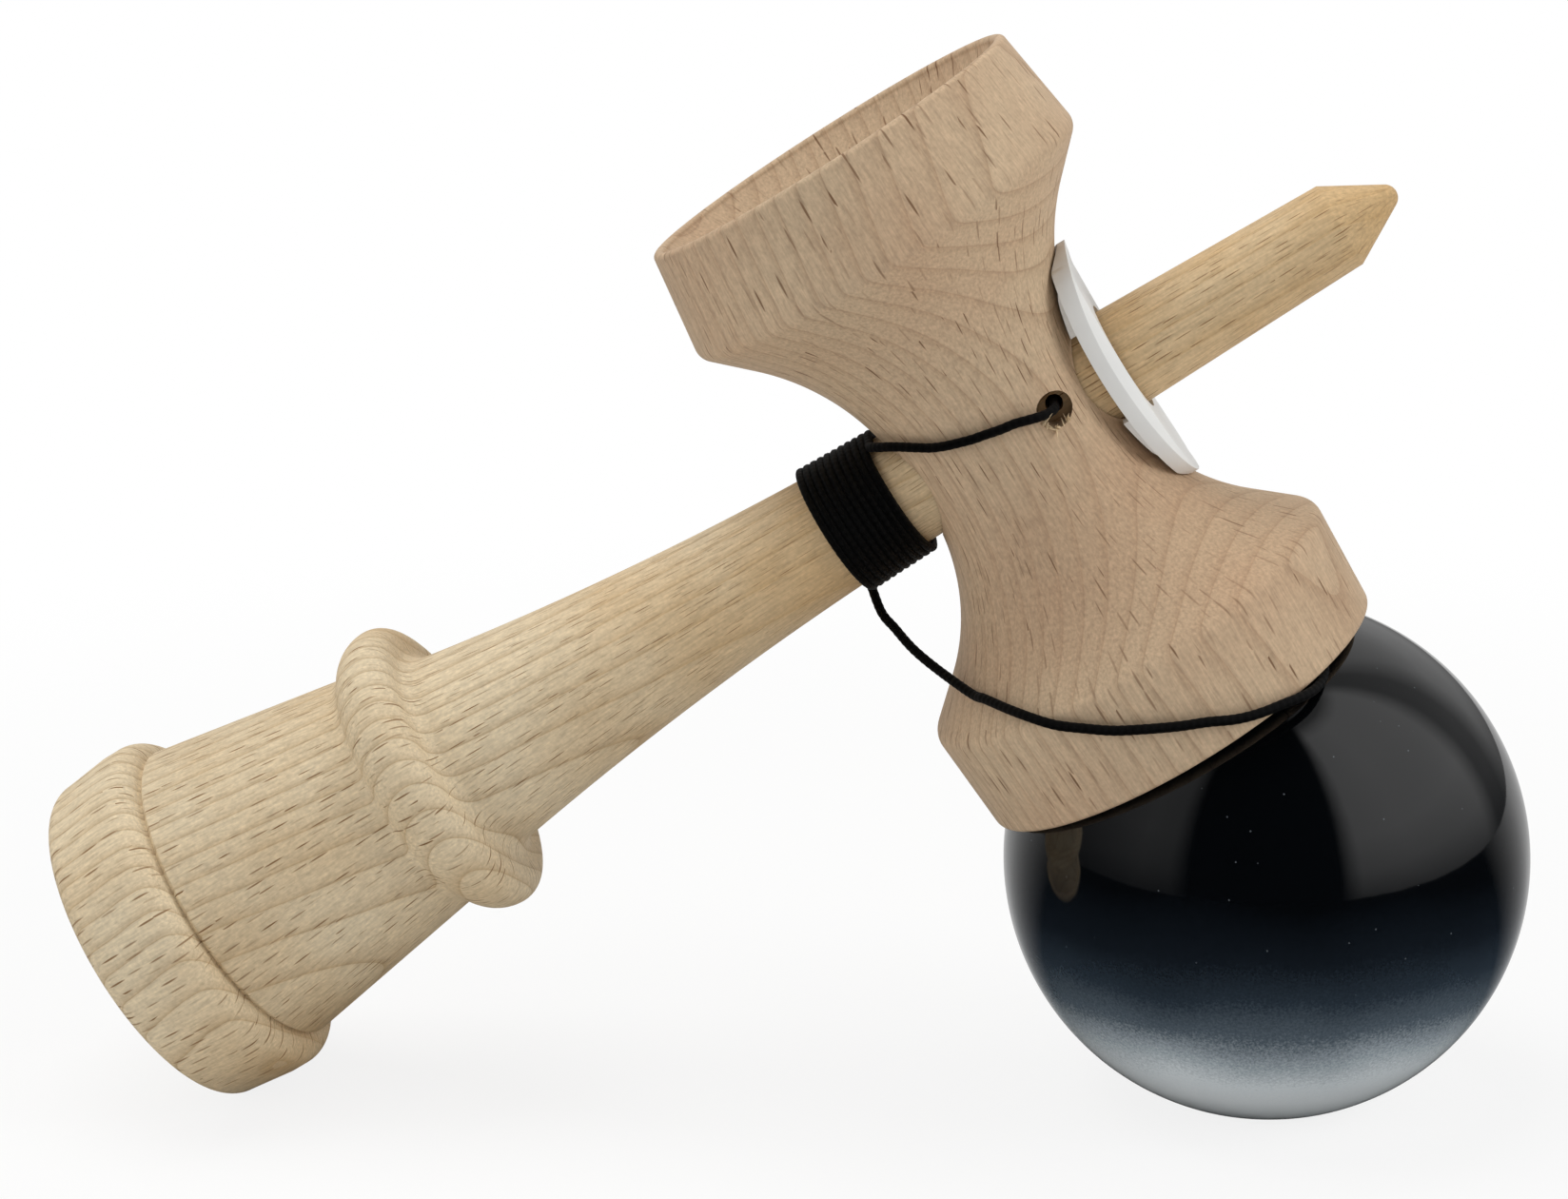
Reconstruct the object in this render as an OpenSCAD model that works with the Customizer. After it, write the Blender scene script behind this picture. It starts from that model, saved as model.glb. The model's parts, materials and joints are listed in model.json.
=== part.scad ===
// Wooden cup and ball toy at rest: the big cup leans on the ball, the handle's lower end stands on the table.
// Units are millimetres. Table at z = 0, +X along the toy towards the spike, -Y is the near side.

/* [Handle] */
// Length from the lower end to the tip of the spike
handle_length = 168.5; // [150:0.5:190]
// Radius of the lower end just above its rounded edge
base_radius = 20.8; // [19:0.1:22]
// Largest radius of the bead round the lower end
bead_radius = 21.4; // [20:0.1:23]
// Height of the V groove above the lower end
groove_height = 12.1; // [10:0.1:15]
// Radius at the bottom of the V groove
groove_radius = 18.3; // [17:0.1:20]
// Radius of the barrel just above the groove
barrel_radius = 18.9; // [17.5:0.1:20]
// Radius of the barrel below the flange
barrel_top_radius = 14.9; // [13.5:0.1:16.5]
// Largest radius of the flange
flange_radius = 18.1; // [16.8:0.1:20]
// Height of the flange crest above the lower end
flange_height = 42; // [39:0.5:46]
// Radius where the grip leaves the flange
grip_radius = 12; // [11:0.1:13.5]
// Radius at the top of the grip
grip_top_radius = 6.6; // [6.2:0.1:7.5]
// Height of the top of the grip above the lower end
grip_height = 104; // [98:1:106]
// Inward bow of the grip
grip_bow = 1; // [0.4:0.1:1.6]
// Radius of the spike at the shoulder of its tip
shoulder_radius = 5; // [4.2:0.1:5.6]
// Half angle of the tip cone
tip_half_angle = 30; // [24:1:36]
// Rounding at the end of the tip
tip_round = 1.5; // [0.8:0.1:2]
// Mouth radius of the hollow in the lower end
base_mouth_radius = 17; // [14:0.5:17.5]
// Ball radius the hollow in the lower end is turned to
base_hollow_radius = 23; // [20:0.5:32]

/* [Cross piece] */
// Height of the cross piece axis above the lower end of the handle
cross_height = 118; // [116:0.5:122]
// Radius of the waist between the cups
waist_radius = 12; // [11.5:0.1:13]
// Largest radius of the big cup
big_cup_radius = 25.2; // [24.9:0.1:27]
// Distance from the handle axis to the rim of the big cup
big_rim_distance = 38.4; // [37.5:0.1:40]
// Mouth radius of the big cup
big_mouth_radius = 23.2; // [22.8:0.1:23.8]
// Ball radius the big cup is turned to
big_hollow_radius = 26.5; // [25.5:0.5:29]
// Largest radius of the small cup
small_cup_radius = 24.6; // [23.8:0.1:26]
// Distance from the handle axis to the rim of the small cup
small_rim_distance = 37.6; // [35:0.1:40]
// Mouth radius of the small cup
small_mouth_radius = 21.5; // [20:0.1:22.8]
// Ball radius the small cup is turned to
small_hollow_radius = 25.5; // [23.5:0.5:30]
// Rounding radius of the cup rims
rim_round = 0.7; // [0.6:0.05:0.9]
// Diameter of the string hole in the near side
string_hole_diameter = 4; // [3:0.1:4.4]

/* [Ball] */
// Ball radius
ball_radius = 30; // [28:0.1:34]
// Radius of the hole the spike goes into
spike_hole_radius = 11; // [9:0.1:12.5]
// Depth of the spike hole past the ball centre
spike_hole_rise = 3; // [0:0.5:6]
// Bevel at the mouth of the spike hole
spike_hole_bevel = 0.8; // [0.4:0.1:1.2]
// Diameter of the string hole in the ball
ball_string_hole_diameter = 3.2; // [2.4:0.1:4]
// Diameter of the bead that holds the string in the ball
bead_diameter = 8; // [6:0.5:10]
// Length of that bead
bead_length = 5; // [4:0.5:7]

/* [Saddle plate] */
// Length of the plate along the cross piece
plate_length = 30.6; // [26:0.2:32]
// Width of the plate
plate_width = 14.8; // [14.6:0.2:18]
// Distance from the cross piece axis to the outer face, at mid length
plate_outer = 15.4; // [15:0.1:17]
// Thickness of the long edges
plate_edge = 1.45; // [1:0.05:1.7]
// Radius of the plate corners
plate_corner = 6; // [3:0.5:7]

/* [String] */
// String diameter
string_diameter = 1.1; // [0.8:0.05:1.15]
// Rise of each turn of the winding
turn_rise = 1.7; // [1.6:0.01:1.75]

/* [Clearance] */
// Gap between the handle and the cross piece seat
seat_gap = 0.2; // [0.1:0.05:0.4]
// Gap between the plate and the wood under it and round the spike
plate_gap = 0.3; // [0.2:0.05:0.5]
// Gap between the winding and the handle
winding_gap = 0.2; // [0.1:0.05:0.4]
// Gap between the bead and the end of its pocket
bead_gap = 0.3; // [0.2:0.05:0.5]
// Ball centre off the cup axis, towards the lower end, which leaves room for the string
ball_offset = 0.9; // [0.7:0.05:1.2]
// Gap between the ball and the cup rim it leans on
ball_gap = 0.3; // [0.2:0.05:0.6]

/* [Hidden] */
$fn = 96;
arc_steps = 8;

beech = "#d3b184";
pink_beech = "#c3a182";
white_plastic = "#f0f0ee";
black_lacquer = "#141316";
pale_wood = "#d8c3a0";
black_cord = "#191919";

base_edge_round = 2.2;
bead_height = 7.5;
bead_top_round = 2.6;
barrel_edge = 0.8;
flange_low_round = 5;
flange_top_round = 2.8;
low_cove = 1.6;
top_cove = 2;
top_cove_turn = 80;

big_flare = 25;
big_flare_start = 3;
big_flare_angle = 48;
small_flare = 28;
small_flare_start = 1;
small_flare_angle = 45;
cup_edge_round = 2;

string_hole_up = 6.8;
string_hole_side = -0.5;
handle_hole_diameter = 2;
knot_pocket_diameter = 4.2;
knot_pocket_depth = 3.4;
knot_diameter = 3.2;
knot_length = 2.6;
knot_round = 1;
countersink_radius = 3.4;
bead_hole_diameter = 2.2;
bead_pocket_clearance = 1;
knot_room = 0.6;

plate_under = 12;
plate_under_arc = 44;
plate_edge_arc = 46;
plate_outer_arc = 84;
plate_bevel_width = 3.3;
plate_foot_drop = 0.9;
plate_foot_end = 9.6;
plate_foot_start = 5.7;
plate_foot_width = 11;
far_cut = 60;

cord_sides = 8;
winding_sides = 6;
winding_steps = 24;
winding_top = 104.5;
winding_start_angle = -165;
winding_turn = 1955;
bend_radius = 2.6;
cord_lift = 0.9;
inner_dip = 2.4;

// Points of a round stretch from angle a to angle b
function arc(c, r, a, b, n = arc_steps) = [for (i = [0:n]) let (turn = a + (b - a) * i / n)
    c + r * [cos(turn), sin(turn)]];

// Points that round the corner q between p and s
function corner(p, q, s, r, n = arc_steps) =
    let (a = (p - q) / norm(p - q), b = (s - q) / norm(s - q))
    let (half = acos(a * b) / 2, m = (a + b) / norm(a + b), c = q + m * r / sin(half))
    let (from = q + a * r / tan(half) - c, to = q + b * r / tan(half) - c)
    let (start = atan2(from[1], from[0]), end = atan2(to[1], to[0]))
    let (turn = end - start, sweep = turn > 180 ? turn - 360 : turn < -180 ? turn + 360 : turn)
    arc(c, r, start, start + sweep, n);

// Radius of the arc of height h over a chord, and depth of the cap of radius m on a ball of radius r
function bow_radius(chord, h) = (chord * chord / 4 + h * h) / (2 * h);
function cap_height(r, m) = sqrt(r * r - m * m);

// Handle, from the lower end up
base_hollow_centre = cap_height(base_hollow_radius, base_mouth_radius);
base_edge_centre = base_radius - base_edge_round;
flange_low_centre = flange_radius - flange_low_round;
low_cove_centre = barrel_top_radius + low_cove;
low_cove_angle = acos((low_cove_centre - flange_low_centre) / (flange_low_round + low_cove));
low_cove_height = flange_height - (flange_low_round + low_cove) * sin(low_cove_angle);
top_cove_centre = [grip_radius + top_cove, flange_height + flange_top_round + top_cove];
grip_start = top_cove_centre - top_cove * [sin(top_cove_turn), cos(top_cove_turn)];
grip_end = [grip_top_radius, grip_height];
grip_chord = norm(grip_end - grip_start);
grip_arc = bow_radius(grip_chord, grip_bow);
grip_normal = [grip_end[1] - grip_start[1], grip_start[0] - grip_end[0]] / grip_chord;
grip_centre = (grip_start + grip_end) / 2 + grip_normal * (grip_arc - grip_bow);
tip_cone_height = handle_length - tip_round * (1 - sin(tip_half_angle));
shoulder_height = tip_cone_height - (shoulder_radius - tip_round * cos(tip_half_angle)) / tan(tip_half_angle);
spike_slope = (grip_top_radius - shoulder_radius) / (shoulder_height - grip_height);
function spike_radius(k) = grip_top_radius - spike_slope * (k - grip_height);
function grip_radius_at(k) = k > grip_height ? spike_radius(k)
    : grip_centre[0] - sqrt(pow(grip_arc, 2) - pow(k - grip_centre[1], 2));

handle_outline = concat(
    arc([0, -base_hollow_centre], base_hollow_radius, 90, atan2(base_hollow_centre, base_mouth_radius)),
    arc([base_edge_centre, base_edge_round], base_edge_round, -90, 0),
    [[bead_radius, bead_height]],
    arc([bead_radius - bead_top_round, groove_height - bead_top_round], bead_top_round, 0, 90),
    [[groove_radius, groove_height + barrel_edge / 4], [barrel_radius, groove_height + barrel_edge]],
    arc([low_cove_centre, low_cove_height], low_cove, 180, 180 - low_cove_angle),
    arc([flange_low_centre, flange_height], flange_low_round, -low_cove_angle, 0),
    arc([flange_radius - flange_top_round, flange_height], flange_top_round, 0, 90),
    arc(top_cove_centre, top_cove, 270, 270 - top_cove_turn),
    [for (i = [1:2 * arc_steps]) let (k = grip_start[1] + (grip_height - grip_start[1]) * i / (2 * arc_steps))
        [grip_radius_at(k), k]],
    [[shoulder_radius, shoulder_height]],
    arc([0, handle_length - tip_round], tip_round, tip_half_angle, 90));

// Cross piece, along its axis: the big cup on the plus side
big_flare_end = [waist_radius + big_flare * (1 - cos(big_flare_angle)),
                 big_flare_start + big_flare * sin(big_flare_angle)];
small_flare_end = [waist_radius + small_flare * (1 - cos(small_flare_angle)),
                   -small_flare_start - small_flare * sin(small_flare_angle)];
big_edge = [big_cup_radius,
            big_flare_end[1] + (big_cup_radius - big_flare_end[0]) / tan(big_flare_angle)];
small_edge = [small_cup_radius,
              small_flare_end[1] - (small_cup_radius - small_flare_end[0]) / tan(small_flare_angle)];
big_rim = [big_mouth_radius + 2 * rim_round, big_rim_distance - rim_round];
small_rim = [small_mouth_radius + 2 * rim_round, rim_round - small_rim_distance];
big_hollow_centre = cap_height(big_hollow_radius, big_mouth_radius);
small_hollow_centre = cap_height(small_hollow_radius, small_mouth_radius);

waist_outline = concat(
    corner(big_rim, big_edge, big_flare_end, cup_edge_round),
    arc([waist_radius + big_flare, big_flare_start], big_flare, 180 - big_flare_angle, 180, 2 * arc_steps),
    arc([waist_radius + small_flare, -small_flare_start], small_flare, 180, 180 + small_flare_angle,
        2 * arc_steps),
    corner(small_flare_end, small_edge, small_rim, cup_edge_round));

cross_outline = concat(
    arc([0, big_rim[1] + big_hollow_centre], big_hollow_radius,
        -90, -atan2(big_hollow_centre, big_mouth_radius)),
    arc(big_rim - [rim_round, 0], rim_round, 180, 0),
    waist_outline,
    arc(small_rim - [rim_round, 0], rim_round, 0, -180),
    arc([0, small_rim[1] - small_hollow_centre], small_hollow_radius,
        atan2(small_hollow_centre, small_mouth_radius), 90));

// Rest pose: the lower edge of the handle and the edge of the spike hole both stand on the table
stand_radius = spike_hole_radius + spike_hole_bevel;
ball_height = cap_height(ball_radius, stand_radius);
ball_standoff = cap_height(ball_radius + rim_round + ball_gap, big_rim[0] - rim_round - ball_offset);
ball_place = [big_rim[1] + ball_standoff, 0, cross_height - ball_offset];
span = [ball_place[0] - base_edge_centre, ball_place[2] - base_edge_round];
lean = atan2(span[0], span[1]) + asin((ball_height - base_edge_round) / norm(span));
far_left = base_edge_round * (cos(lean) - 1) - base_edge_centre * sin(lean);
far_right = ball_place[0] * sin(lean) + ball_place[2] * cos(lean) + ball_radius;
toy_origin = [-(far_left + far_right) / 2, 0,
              base_edge_centre * cos(lean) + base_edge_round * (1 - sin(lean))];
ball_x = toy_origin[0] + ball_place[0] * sin(lean) + ball_place[2] * cos(lean);
ball_up = [-cos(lean), 0, sin(lean)];
bead_pocket_depth = bead_gap + bead_length + knot_length + knot_room;
bead_foot = ball_height + spike_hole_rise + knot_room + knot_length;

// Winding: one helix that follows the grip, with a straight end at each side
winding_end_angle = winding_start_angle - winding_turn;
winding_drop = turn_rise * winding_turn / 360;
winding_points = floor(winding_turn / 360 * winding_steps);
function winding_at(t) =
    let (a = winding_start_angle - winding_turn * t, k = winding_top - winding_drop * t)
    let (r = grip_radius_at(k) + winding_gap + string_diameter / 2)
    [r * cos(a), r * sin(a), k];
helix = [for (i = [0:winding_points]) winding_at(i / winding_points)];
function unit(v) = v / norm(v);
winding_way_in = unit(helix[1] - helix[0]);
winding_way_out = unit(helix[winding_points] - helix[winding_points - 1]);
winding_start = helix[0] - winding_way_in * string_diameter;
winding_end = helix[winding_points] + winding_way_out * string_diameter;
winding_route = concat([winding_start], helix, [winding_end]);
half_turn = winding_steps / 2;
winding_free = min([for (i = [0:winding_points - half_turn]) for (j = [i + half_turn:winding_points])
    norm(helix[i] - helix[j])]) - string_diameter;
echo(least_gap_between_turns = winding_free);

// String routes in the handle's frame: along the cross piece, away from the near side, up the handle
hole_height = cross_height + string_hole_up;
knot_face = sqrt(pow(spike_radius(hole_height), 2) - pow(string_hole_side, 2)) - knot_pocket_depth;
lead_points = [
    [-0.5, -4, 124.8], [-0.5, -6.5, 124.8], [-0.5, -8.7, 124.8], [-0.6, -10.3, 124.5], [-0.9, -11.5, 123.5],
    [-1.4, -12.2, 122.1], [-1.9, -12.5, 120.6], [-2.2, -12.8, 119], [-2.6, -12.9, 117.3], [-2.9, -12.7, 115.7],
    [-3.3, -12.4, 114.2], [-3.7, -11.9, 112.7], [-4.2, -11.1, 111.2], [-4.9, -10.3, 109.8],
    [-5.6, -9.3, 108.4], [-6.2, -8.1, 107], [-6.5, -6.8, 105.9], [-6.7, -5.5, 105.1]];
tail_points = [
    [10.8, 0.1, 94.9], [12.9, -1.8, 95.5], [15.5, -4.4, 96.4], [18.4, -7, 97.9], [21.6, -12.7, 100.6],
    [22.2, -15.3, 101.9], [23.6, -19.3, 104.1], [25.1, -22.5, 106.3], [26.7, -24.1, 108.3],
    [28.4, -24.9, 110.8], [30.1, -25.4, 113.4], [31.7, -25.7, 116.5], [33.3, -25.6, 119.7],
    [34.6, -25.2, 122.5], [36.1, -24.5, 125.2], [37.1, -23.6, 127.7], [37.9, -22.2, 130.3], [38.5, -21, 131.9],
    [39, -19.5, 133.2], [39.2, -17.7, 134.2], [39, -15.9, 135], [38.3, -14.2, 135.5]];
ball_ways = [[-21.5, -12.4, 18.3], [-23.1, -10, 18], [-24.6, -7.2, 17.4], [-25.6, -4.6, 16.9]];
ball_points = [for (w = ball_ways) ball_place + (ball_radius + cord_lift) * unit(w)];
function over_hole(y, h) = ball_place + (ball_radius + h) * ball_up + [0, y, 0];
tail_bend = [for (a = [0:30:90]) over_hole(bend_radius * (sin(a) - 1), cord_lift + bend_radius * (cos(a) - 1))];
lead_route = concat([[string_hole_side, knot_face, hole_height]], lead_points,
    [winding_start - winding_way_in * string_diameter, winding_start]);
tail_route = concat([winding_end, winding_end + winding_way_out * string_diameter], tail_points, ball_points,
    tail_bend, [over_hole(0, -inner_dip)]);

// Smooth curve through the route points
function between(p, q, r, s, t) = 0.5 * (2 * q + (r - p) * t + (2 * p - 5 * q + 4 * r - s) * t * t
    + (3 * q - p - 3 * r + s) * t * t * t);
function smooth(p) = let (n = len(p) - 1) concat(
    [for (i = [0:n - 1]) for (t = [0, 0.5])
        between(p[max(i - 1, 0)], p[i], p[i + 1], p[min(i + 2, n)], t)], [p[n]]);
function way(p, i) = unit(p[min(i + 1, len(p) - 1)] - p[max(i - 1, 0)]);
function square_to(v, w) = unit(v - w * (v * w));
function side_ways(p) = [for (i = 0, v = square_to([0.31, 0.52, 0.79], way(p, 0)); i < len(p);
    i = i + 1, v = i < len(p) ? square_to(v, way(p, i)) : v) v];

// Tube of n sides along the points p
module tube(p, d, n) {
    sides = side_ways(p);
    last = len(p) - 1;
    points = [for (i = [0:last]) let (v = sides[i], w = cross(way(p, i), sides[i]))
        for (j = [0:n - 1]) p[i] + (v * cos(360 * j / n) + w * sin(360 * j / n)) * d / 2];
    walls = [for (i = [0:last - 1]) for (j = [0:n - 1])
        [i * n + j, (i + 1) * n + j, (i + 1) * n + (j + 1) % n, i * n + (j + 1) % n]];
    start_cap = [for (j = [0:n - 1]) j];
    end_cap = [for (j = [n - 1:-1:0]) last * n + j];
    polyhedron(points, concat(walls, [start_cap], [end_cap]));
}

// Puts what is modelled in the handle's frame into the rest pose
module at_rest() {
    translate(toy_origin) rotate([0, 90 - lean, 0]) children();
}

module along_cross() {
    translate([0, 0, cross_height]) rotate([0, 90, 0]) children();
}

module across(side, height) {
    translate([side, 0, height]) rotate([-90, 0, 0]) children();
}

module knot_form() {
    half = knot_diameter / 2;
    rotate_extrude() polygon(concat([[0, 0]], arc([half - knot_round, knot_round], knot_round, -90, 0),
        arc([half - knot_round, knot_length - knot_round], knot_round, 0, 90), [[0, knot_length]]));
}

module handle() {
    color(beech) at_rest() difference() {
        rotate_extrude() polygon(handle_outline);
        across(string_hole_side, hole_height)
            cylinder(d = handle_hole_diameter, h = 4 * grip_top_radius, center = true);
        across(string_hole_side, hole_height)
            translate([0, 0, knot_face]) cylinder(d = knot_pocket_diameter, h = 2 * grip_top_radius);
    }
}

module cross_piece() {
    reach = 2 * waist_radius;
    color(pink_beech) at_rest() difference() {
        along_cross() rotate_extrude() polygon(cross_outline);
        translate([0, 0, cross_height - reach]) cylinder(h = 2 * reach,
            r1 = spike_radius(cross_height - reach) + seat_gap,
            r2 = spike_radius(cross_height + reach) + seat_gap);
        across(string_hole_side, hole_height)
            translate([0, 0, -reach]) cylinder(d = string_hole_diameter, h = reach);
    }
}

module saddle_plate() {
    half = plate_length / 2;
    rise = cross_height + plate_under;
    edge_axis = rise + plate_edge + plate_edge_arc;
    outer_axis = cross_height + plate_outer + plate_outer_arc;
    bevel_top = plate_edge_arc - (plate_outer - plate_under - plate_edge);
    color(white_plastic) at_rest() difference() {
        intersection() {
            union() {
                across(0, rise + plate_under_arc)
                    cylinder(r = plate_under_arc, h = plate_width, center = true);
                for (s = [-1, 1])
                    translate([s * (plate_foot_start + plate_foot_end) / 2, 0, rise + plate_foot_drop])
                        cube([plate_foot_end - plate_foot_start, plate_foot_width, 4 * plate_foot_drop],
                            center = true);
            }
            translate([0, 0, cross_height]) linear_extrude(far_cut) union() {
                square([plate_length, plate_width - 2 * plate_corner], center = true);
                square([plate_length - 2 * plate_corner, plate_width], center = true);
                for (s = [-1, 1]) for (t = [-1, 1])
                    translate([s * (half - plate_corner), t * (plate_width / 2 - plate_corner)])
                        circle(plate_corner);
            }
        }
        across(0, outer_axis) cylinder(r = plate_outer_arc, h = far_cut, center = true);
        across(0, edge_axis) rotate_extrude() polygon([
            [0, -plate_width / 2], [plate_edge_arc, -plate_width / 2],
            [bevel_top, plate_bevel_width - plate_width / 2], [bevel_top, plate_width / 2 - plate_bevel_width],
            [plate_edge_arc, plate_width / 2], [0, plate_width / 2]]);
        along_cross() rotate_extrude() polygon(concat([[0, big_edge[1]]],
            [for (p = waist_outline) p + [plate_gap, 0]], [[0, small_edge[1]]]));
        translate([0, 0, cross_height]) cylinder(r = spike_radius(cross_height) + plate_gap, h = far_cut);
    }
}

module ball() {
    hole_half = ball_string_hole_diameter / 2;
    top = sqrt(pow(ball_radius, 2) - pow(countersink_radius, 2));
    color(black_lacquer) translate([ball_x, 0, ball_height]) difference() {
        sphere(ball_radius);
        translate([0, 0, -ball_radius]) cylinder(r = spike_hole_radius, h = ball_radius + spike_hole_rise);
        cylinder(d = bead_diameter + 2 * bead_pocket_clearance, h = spike_hole_rise + bead_pocket_depth);
        translate([0, 0, -ball_height - spike_hole_bevel])
            cylinder(r1 = stand_radius + spike_hole_bevel, r2 = spike_hole_radius, h = 2 * spike_hole_bevel);
        cylinder(r = hole_half, h = 2 * ball_radius);
        translate([0, 0, top - countersink_radius + hole_half])
            cylinder(r1 = hole_half, r2 = countersink_radius, h = countersink_radius - hole_half);
        translate([0, 0, top]) cylinder(r = countersink_radius, h = ball_radius);
    }
}

module bead() {
    belly = bow_radius(bead_length, bead_length / 4);
    color(pale_wood) translate([ball_x, 0, bead_foot]) difference() {
        intersection() {
            rotate_extrude() intersection() {
                translate([bead_diameter / 2 - belly, bead_length / 2]) circle(belly);
                square([bead_diameter, bead_length]);
            }
            cylinder(d = 2 * bead_diameter, h = bead_length);
        }
        cylinder(d = bead_hole_diameter, h = 3 * bead_length, center = true);
    }
}

module bead_knot() {
    color(black_cord) translate([ball_x, 0, bead_foot - knot_length]) knot_form();
}

module handle_knot() {
    color(black_cord) at_rest() across(string_hole_side, hole_height) translate([0, 0, knot_face]) knot_form();
}

module string_lead() {
    color(black_cord) at_rest() tube(smooth(lead_route), string_diameter, cord_sides);
}

module string_winding() {
    color(black_cord) at_rest() tube(winding_route, string_diameter, winding_sides);
}

module string_tail() {
    color(black_cord) at_rest() tube(smooth(tail_route), string_diameter, cord_sides);
}

module string_inner() {
    length = ball_height + ball_radius - inner_dip - bead_foot;
    color(black_cord) translate([ball_x, 0, bead_foot]) cylinder(d = string_diameter, h = length);
}

handle();
cross_piece();
saddle_plate();
ball();
bead();
bead_knot();
handle_knot();
string_lead();
string_winding();
string_tail();
string_inner();
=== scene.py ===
import bpy
import bmesh
import json
import math
import random
from mathutils import Matrix, Vector


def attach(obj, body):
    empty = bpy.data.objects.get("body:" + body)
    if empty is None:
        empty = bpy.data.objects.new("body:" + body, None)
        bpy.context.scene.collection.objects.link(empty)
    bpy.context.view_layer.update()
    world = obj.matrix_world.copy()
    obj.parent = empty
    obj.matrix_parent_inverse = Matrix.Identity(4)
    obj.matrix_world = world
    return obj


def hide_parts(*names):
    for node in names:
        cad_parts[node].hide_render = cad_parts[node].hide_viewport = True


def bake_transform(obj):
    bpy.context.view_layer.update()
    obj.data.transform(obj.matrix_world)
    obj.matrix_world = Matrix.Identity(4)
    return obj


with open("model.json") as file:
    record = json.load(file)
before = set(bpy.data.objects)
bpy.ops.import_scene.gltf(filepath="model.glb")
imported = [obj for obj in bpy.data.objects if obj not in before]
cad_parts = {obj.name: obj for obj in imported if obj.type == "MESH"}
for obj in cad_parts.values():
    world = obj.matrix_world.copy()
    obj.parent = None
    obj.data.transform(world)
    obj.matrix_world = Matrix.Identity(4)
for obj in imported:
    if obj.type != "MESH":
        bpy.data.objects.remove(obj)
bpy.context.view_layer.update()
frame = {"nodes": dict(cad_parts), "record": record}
record = frame["record"]
joints = {joint["name"]: joint for joint in record["behaviour"]["joints"]}
mounts = {mount["name"]: mount for mount in record["mounts"]}
mm = 0.001
mergeGap = 0.002  # vertices nearer than this many millimetres are one

# the handle's own frame: x along the cross piece to the ball, y away from the camera, z up the handle
handleWay = Vector(joints["plate_slide"]["axis"]).normalized()
crossWay = -Vector(joints["handle_lift"]["axis"]).normalized()
farWay = handleWay.cross(crossWay).normalized()
rim = mounts["base_rim"]["pos_m"]
baseCentre = Vector((rim[0], 0, rim[2]))
ballCentre = Vector(joints["string_swivel"]["pos_m"])
crossHeight = 118  # the cross piece's middle on the handle
holeX, holeZ = -0.5, 124.8  # middle of the string hole


def axesAt(place, x, y, z):
    turned = Matrix((x, y, z)).transposed().to_4x4()
    turned.translation = place
    return turned


# millimetres in the handle's, the cross piece's and the ball's frames to the row frame
toyScale = axesAt(baseCentre, crossWay, farWay, handleWay) @ Matrix.Scale(mm, 4)
crossScale = toyScale @ Matrix.Translation((0, 0, crossHeight))
alongCross = crossScale @ Matrix.Rotation(math.radians(90), 4, "Y")
ballScale = Matrix.Translation(ballCentre) @ Matrix.Scale(mm, 4)


def toyPoint(point):
    return toyScale @ Vector(point)


print("frame read")

# camera, fitted to the outline, the cup rims and the groove in the photograph (1648 x 1260)
cameraView = {"place": (0.028645, -0.422533, 0.163528), "turn": (76.05033, 1.2225, 3.51106), "lens": 87.9007}
cameraData = bpy.data.cameras.new("photoCamera")
cameraData.sensor_fit = "HORIZONTAL"
cameraData.sensor_width = 36
cameraData.lens = cameraView["lens"]
cameraData.clip_start = 0.01
camera = bpy.data.objects.new("photoCamera", cameraData)
camera.location = cameraView["place"]
camera.rotation_euler = [math.radians(a) for a in cameraView["turn"]]
bpy.context.scene.collection.objects.link(camera)
bpy.context.scene.camera = camera
print("camera placed")


def onlyVerts(parts):
    return [part for part in parts if isinstance(part, bmesh.types.BMVert)]


# smooth but for edges sharper than the angle
def shadeMesh(mesh, sharp):
    mesh.polygons.foreach_set("use_smooth", [True] * len(mesh.polygons))
    mesh.set_sharp_from_angle(angle=math.radians(sharp))


# the operators leave their parts in no fixed order, so each run puts them in the same one
def sortParts(bm):
    slant = Vector((1, 0.618, 0.382))
    bm.verts.sort(key=lambda vert: slant.dot(vert.co))
    bm.faces.sort(key=lambda face: slant.dot(face.calc_center_median()))


# finished object from a bmesh
def makePiece(name, bm, place, sharp=35):
    bmesh.ops.transform(bm, matrix=place, verts=bm.verts)
    sortParts(bm)
    mesh = bpy.data.meshes.new(name)
    bm.to_mesh(mesh)
    bm.free()
    shadeMesh(mesh, sharp)
    piece = bpy.data.objects.new(name, mesh)
    bpy.context.scene.collection.objects.link(piece)
    return piece


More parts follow.
